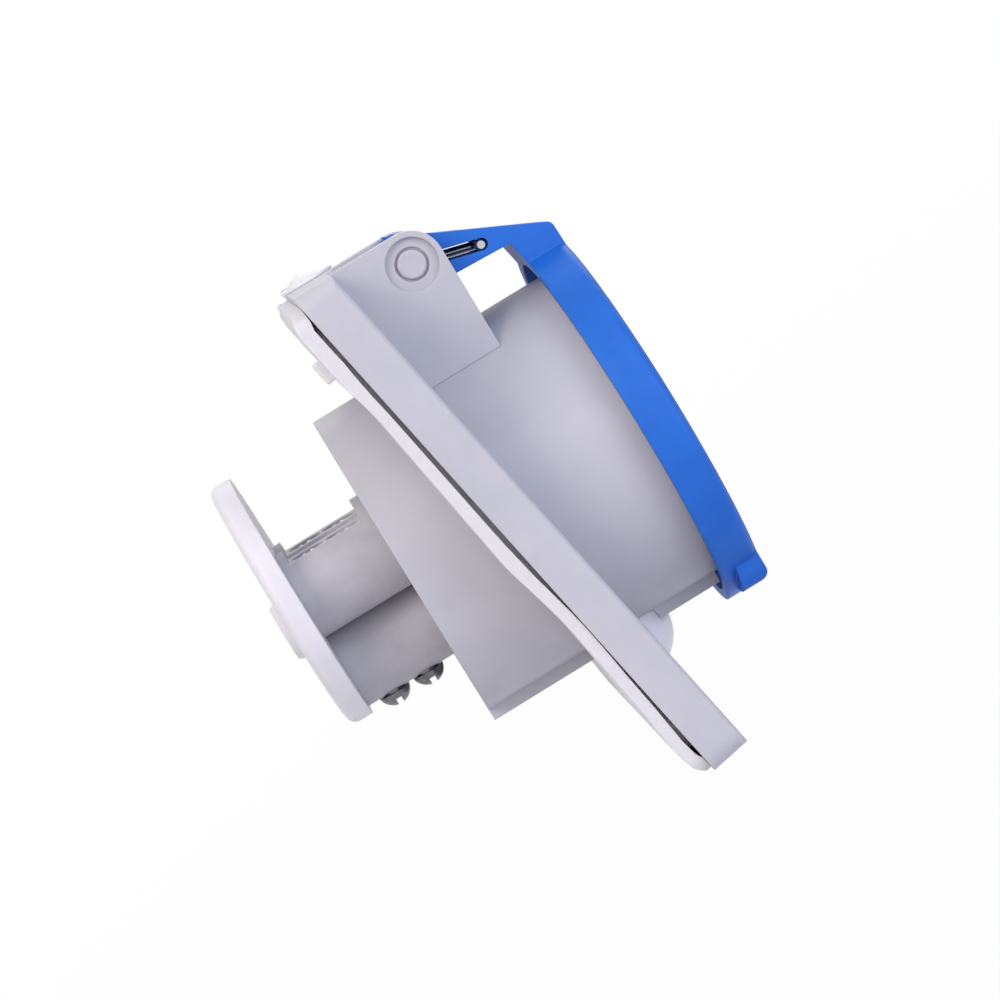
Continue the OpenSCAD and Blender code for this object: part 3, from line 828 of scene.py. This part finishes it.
@dataclass
class FlangeGasket:
    """The soft gasket: a sheet behind the rim that lies in slow waves, so the gap beside it comes and goes.

    Lengths are millimetres in the row's frame. The two lines give the depth of the sheet's rear
    and front face at each height.
    """

    sheet_front: float = -2.3
    edge_round: float = 0.55
    cut_every: float = 3.0
    cut_join: float = 1e-4
    back_margin: float = 0.01
    front_margin: float = 0.05
    bottom_z: float = -42.5
    top_z: float = 42.5
    top_drop: float = 0.8
    top_drop_from: float = 37.0
    rear_line: tuple[tuple[float, float], ...] = (
        (-42.5, -2.1), (-41.6, -1.4), (-40.5, -0.8), (-38.7, -0.45), (-36.8, -0.35), (-34.3, -0.4),
        (-31.9, -0.6), (-26.5, -0.8), (-14.3, -0.9), (-11.3, -0.75), (-8.3, -0.47), (-3.0, 0.0),
        (18.0, -0.4), (24.4, -0.55), (28.0, -0.2), (30.0, 0.0), (38.4, 0.0), (40.3, -0.3), (41.7, -1.0),
    )
    front_line: tuple[tuple[float, float], ...] = (
        (-42.5, -2.78), (-40.2, -2.74), (-38.8, -2.1), (-35.4, -2.15), (-32.0, -2.35), (-24.0, -2.5),
        (-20.0, -2.68), (-14.7, -2.68), (-10.7, -2.48), (-7.3, -2.2), (0.0, -2.0), (23.0, -2.15),
        (28.0, -2.05), (33.0, -2.25), (38.0, -2.1), (39.6, -2.6), (41.7, -2.75),
    )
    pip_at: tuple[float, float, float] = (-35.0, 0.3, 33.2)
    pip_size: tuple[float, float, float] = (2.0, 2.0, 3.4)
    nib_at: tuple[float, float, float] = (35.4, -1.3, 41.3)
    nib_size: tuple[float, float, float] = (1.6, 0.9, 1.2)
    lug_round: float = 0.3
    lug_steps: int = 2

    # Less than the 30 degrees between two strips of a rounded edge, so its shading spreads less.
    SHADING_DEGREES = 25.0

    def shape(self) -> bmesh.types.BMesh:
        """Builds the gasket from the CAD node's outline."""
        mesh = merged_copy("flange_gasket")
        bmesh.ops.scale(mesh, verts=mesh.verts, vec=(MM_PER_METRE, MM_PER_METRE, MM_PER_METRE))
        soften(mesh, sharp_edges(mesh, CORNER_DEGREES, self._on_back), self.edge_round)
        height = self.bottom_z + self.cut_every
        while height < self.top_z:
            bmesh.ops.bisect_plane(
                mesh, geom=mesh.verts[:] + mesh.edges[:] + mesh.faces[:], dist=self.cut_join,
                plane_co=(0, 0, height), plane_no=(0, 0, 1),
            )
            height += self.cut_every
        self._lay_in_waves(mesh)
        self._add_lug(mesh, self.pip_at, self.pip_size)
        self._add_lug(mesh, self.nib_at, self.nib_size)
        bmesh.ops.scale(mesh, verts=mesh.verts, vec=(MILLIMETRE, MILLIMETRE, MILLIMETRE))
        return mesh

    def _on_back(self, edge: bmesh.types.BMEdge) -> bool:
        """Tells whether an edge lies on the gasket's rear face."""
        return all(vert.co.y > -self.back_margin for vert in edge.verts)

    def _line_at(self, line: Sequence[tuple[float, float]], height: float) -> float:
        """Reads a line's depth at a height.

        Args:
            line: Places of height and depth, from the lowest up, with straight runs between them.
            height: The height.

        Returns:
            The depth there, or at the line's nearer end.
        """
        height = min(max(height, line[0][0]), line[-1][0])
        for (low, low_depth), (high, high_depth) in zip(line, line[1:]):
            if height <= high:
                return low_depth + (high_depth - low_depth) * (height - low) / (high - low)
        return line[-1][1]

    def _lay_in_waves(self, mesh: bmesh.types.BMesh) -> None:
        """Lowers the sheet's top a little, and moves its front and rear face to their lines.

        What lies between the two faces moves in proportion.
        """
        for vert in mesh.verts:
            if vert.co.z > self.top_drop_from:
                share = (vert.co.z - self.top_drop_from) / (self.top_z - self.top_drop_from)
                vert.co.z -= self.top_drop * share
            if vert.co.y > self.sheet_front - self.front_margin:
                share = 1 - vert.co.y / self.sheet_front
                front = self._line_at(self.front_line, vert.co.z)
                rear = self._line_at(self.rear_line, vert.co.z)
                vert.co.y = front + (rear - front) * share

    def _add_lug(self, mesh: bmesh.types.BMesh, place: tuple[float, float, float],
                 size: tuple[float, float, float]) -> None:
        """Adds a small soft lug to the sheet's edge.

        Args:
            mesh: The gasket in millimetres.
            place: The middle of the lug.
            size: Its three sides.
        """
        where = Matrix.Translation(place) @ Matrix.Diagonal((*size, 1))
        lug = bmesh.ops.create_cube(mesh, size=1.0, matrix=where)
        edges = list({edge for vert in lug["verts"] for edge in vert.link_edges})
        soften(mesh, edges, self.lug_round, self.lug_steps)

    def build(self, shop: Workshop) -> None:
        """Makes the gasket."""
        shop.piece(
            "rim_gasket", self.shape(), GASKET_RUBBER, Body.SOCKET, ["flange_gasket"],
            self.SHADING_DEGREES,
        )


@dataclass
class LidSeal:
    """The seal inside the lid: a ring with a low ridge and a thicker rim, about the collar's end."""

    axis: SocketAxis
    outer_r: float = 27.4
    inner_r: float = 21.4
    front: float = 28.0
    back: float = 26.3
    lip_r: float = 22.5
    lip_w: float = 0.9
    groove: float = 0.7
    ridge_in: float = 0.25
    ridge_h: float = 0.12
    rim_foot: float = 1.6
    rim_top: float = 1.3
    edge_round: float = 0.15
    edge_steps: int = 2
    corner_degrees: float = 40.0
    sides: int = 144

    def shape(self) -> bmesh.types.BMesh:
        """Builds the ring about the socket's axis."""
        low = self.back + self.groove
        profile = [
            (self.inner_r, self.front), (self.inner_r, low), (self.lip_r - self.lip_w, low),
            (self.lip_r - self.ridge_in, low - self.ridge_h), (self.lip_r, low),
            (self.outer_r - self.rim_foot, low), (self.outer_r - self.rim_top, self.back),
            (self.outer_r, self.back), (self.outer_r, self.front),
        ]
        mesh = turned(profile, self.sides)
        soften(mesh, sharp_edges(mesh, self.corner_degrees), self.edge_round, self.edge_steps)
        bmesh.ops.transform(mesh, matrix=self.axis.to_row(), verts=mesh.verts)
        return mesh

    def build(self, shop: Workshop) -> None:
        """Makes the seal."""
        shop.piece("closing_seal", self.shape(), GASKET_RUBBER, Body.LID, ["lid_seal"])


@dataclass
class TopCap:
    """The white cap on the flange's sloping top: a flat rim, a groove and a domed middle."""

    axis: SocketAxis
    up: float = 41.7
    out: float = -4.1
    radius: float = 4.2
    height: float = 1.8
    rim_w: float = 0.7
    rim_h: float = 0.6
    groove_w: float = 0.2
    groove_h: float = 0.3
    edge_round: float = 0.25
    edge_steps: int = 2
    corner_degrees: float = 50.0
    sides: int = 72
    steps: int = 10

    def shape(self) -> bmesh.types.BMesh:
        """Builds the cap with its axis along the socket's height."""
        dome_r = self.radius - self.rim_w
        rise = self.height - self.rim_h + self.groove_h
        ball_r = (dome_r ** 2 + rise ** 2) / (2 * rise)
        top = math.asin(dome_r / ball_r)
        dome = [
            (max(ball_r * math.sin(top * i / self.steps), 0.0),
             self.height - ball_r + ball_r * math.cos(top * i / self.steps))
            for i in range(self.steps + 1)
        ]
        profile = [
            (0.0, 0.0), *dome, (dome_r + self.groove_w, self.rim_h),
            (self.radius, self.rim_h), (self.radius, 0.0),
        ]
        mesh = turned(profile, self.sides)
        soften(mesh, sharp_edges(mesh, self.corner_degrees), self.edge_round, self.edge_steps)
        turn = Matrix.Rotation(math.radians(-90), 4, "X")
        place = Matrix.Translation((0, self.up, self.out)) @ turn
        bmesh.ops.transform(mesh, matrix=self.axis.to_row() @ place, verts=mesh.verts)
        return mesh

    def build(self, shop: Workshop) -> None:
        """Makes the cap."""
        shop.piece("top_dome_cap", self.shape(), CAP_PLASTIC, Body.SOCKET, ["upper_cap"])


@dataclass(frozen=True)
class Lamp:
    """One square soft lamp that points at the object. Its place and side are metres."""

    name: str
    place: tuple[float, float, float]
    side: float
    watts: float
    colour: str

    def build(self) -> None:
        """Makes the lamp."""
        light = bpy.data.lights.new(self.name, "AREA")
        light.shape = "SQUARE"
        light.size = self.side
        light.energy = self.watts
        light.color = linear(self.colour)[:3]
        holder = bpy.data.objects.new(self.name, light)
        holder.location = self.place
        holder.rotation_euler = (-Vector(self.place)).to_track_quat("-Z", "Y").to_euler()
        holder.visible_camera = False
        bpy.context.scene.collection.objects.link(holder)


LAMPS = (
    Lamp("key_lamp", (-0.79, 0.40, 0.66), 0.4, 3.4, "#ffeada"),
    Lamp("top_lamp", (-0.3, 0.35, 1.0), 0.8, 1.4, "#fffcfa"),
    Lamp("side_lamp", (-0.95, 0.15, 0.72), 0.9, 2.4, "#fbfaff"),
    Lamp("front_lamp", (-0.85, -0.58, -0.03), 0.6, 4.8, "#dae2fb"),
    Lamp("back_lamp", (0.9, -0.5, 0.6), 0.8, 3.4, "#fafaff"),
)


@dataclass
class Studio:
    """A plain pale floor and soft light.

    To the camera and in reflections the surround is white, and so is the floor but for a small share
    near the object, which keeps the shadow. Their own, dimmer colours light the object's matte surfaces.
    """

    floor_z: float = -0.1
    floor_half: float = 2.5
    floor_colour: str = "#d4d4d9"
    floor_roughness: float = 0.8
    ambient: float = 0.66
    ambient_colour: str = "#e6eaf3"
    white_near: float = 0.955
    fade_from: float = 0.35
    fade_to: float = 0.9

    def seen_directly(self, tree: bpy.types.NodeTree) -> bpy.types.NodeSocket:
        """Gives 1 for camera, mirror and glass rays, and 0 for the rays that light matte surfaces."""
        path = add_node(tree, "ShaderNodeLightPath")
        first = add_node(tree, "ShaderNodeMath", {
            0: path.outputs["Is Camera Ray"], 1: path.outputs["Is Glossy Ray"],
        }, operation="MAXIMUM")
        both = add_node(tree, "ShaderNodeMath", {
            0: first.outputs[0], 1: path.outputs["Is Transmission Ray"],
        }, operation="MAXIMUM")
        return both.outputs[0]

    def world(self) -> None:
        """Makes the pale surround."""
        world = bpy.data.worlds.new("pale_surround")
        bpy.context.scene.world = world
        world.use_nodes = True
        tree = world.node_tree
        tree.nodes.clear()
        light = add_node(tree, "ShaderNodeBackground", {
            "Color": linear(self.ambient_colour), "Strength": self.ambient,
        })
        shown = add_node(tree, "ShaderNodeBackground", {"Color": linear(WHITE), "Strength": 1.0})
        mixed = add_node(tree, "ShaderNodeMixShader", {
            0: self.seen_directly(tree), 1: light.outputs[0], 2: shown.outputs[0],
        })
        add_node(tree, "ShaderNodeOutputWorld", {"Surface": mixed.outputs[0]})

    def floor(self) -> None:
        """Makes the floor, which shows white and keeps part of its shadows."""
        mesh = bmesh.new()
        bmesh.ops.create_grid(
            mesh, x_segments=1, y_segments=1, size=self.floor_half,
            matrix=Matrix.Translation((0, 0, self.floor_z)),
        )
        shape = bpy.data.meshes.new("pale_floor")
        mesh.to_mesh(shape)
        mesh.free()
        made = bpy.data.materials.new("pale_floor")
        made.use_nodes = True
        tree = made.node_tree
        shader = tree.nodes["Principled BSDF"]
        fill(tree, shader, {"Base Color": linear(self.floor_colour), "Roughness": self.floor_roughness})
        white = add_node(tree, "ShaderNodeEmission", {"Color": linear(WHITE), "Strength": 1.0})
        place = add_node(tree, "ShaderNodeTexCoord").outputs["Object"]
        away = add_node(tree, "ShaderNodeVectorMath", {0: place}, operation="LENGTH")
        whiter = add_node(tree, "ShaderNodeMapRange", {
            "Value": away.outputs["Value"], "From Min": self.fade_from, "From Max": self.fade_to,
            "To Min": self.white_near, "To Max": 1.0,
        })
        share = add_node(tree, "ShaderNodeMath", {
            0: self.seen_directly(tree), 1: whiter.outputs["Result"],
        }, operation="MULTIPLY")
        mixed = add_node(tree, "ShaderNodeMixShader", {
            0: share.outputs[0], 1: shader.outputs[0], 2: white.outputs[0],
        })
        tree.links.new(mixed.outputs[0], tree.nodes["Material Output"].inputs["Surface"])
        shape.materials.append(made)
        ground = bpy.data.objects.new("pale_floor", shape)
        bpy.context.scene.collection.objects.link(ground)

    def build(self) -> None:
        """Makes the surround, the floor and the lamps."""
        self.world()
        self.floor()
        for lamp in LAMPS:
            lamp.build()


@dataclass
class ViewingCamera:
    """The photograph's viewpoint: nearly level from the socket's side, and rolled by about 42 degrees."""

    place: tuple[float, float, float] = (-0.51977, 0.00168, 0.05808)
    across: tuple[float, float, float] = (-0.08461, -0.74351, -0.66335)
    forward: tuple[float, float, float] = (0.99382, -0.01493, -0.11003)
    lens_mm: float = 129.6
    sensor_mm: float = 36.0
    nearest: float = 0.01

    def build(self) -> None:
        """Makes the camera and hands it to the scene."""
        back = -Vector(self.forward).normalized()
        across = Vector(self.across)
        across = (across - back * across.dot(back)).normalized()
        up = back.cross(across)
        data = bpy.data.cameras.new("viewing_camera")
        data.lens = self.lens_mm
        data.sensor_width = self.sensor_mm
        data.clip_start = self.nearest
        camera = bpy.data.objects.new("viewing_camera", data)
        turn = Matrix((across, up, back)).transposed().to_4x4()
        camera.matrix_world = Matrix.Translation(self.place) @ turn
        bpy.context.scene.collection.objects.link(camera)
        bpy.context.scene.camera = camera


def corners(box: tuple[Vector, Vector]) -> list[list[float]]:
    """Turns a box's two corners into plain lists."""
    return [[float(value) for value in corner] for corner in box]


def main() -> None:
    """Builds the camera, the studio and every piece."""
    logging.basicConfig(level=logging.INFO, format="%(message)s")
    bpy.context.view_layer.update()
    bpy.context.scene.view_settings.view_transform = "Standard"
    ViewingCamera().build()
    Studio().build()
    shop = Workshop()
    axis = SocketAxis()
    for node, wanted in CAD_FINISHES.items():
        shop.dress(node, wanted)
    HingePin(axis).build(shop)
    HingeSpring(axis).build(shop)
    FlangeGasket().build(shop)
    LidSeal(axis).build(shop)
    TopCap(axis).build(shop)


if __name__ == "__main__":
    main()
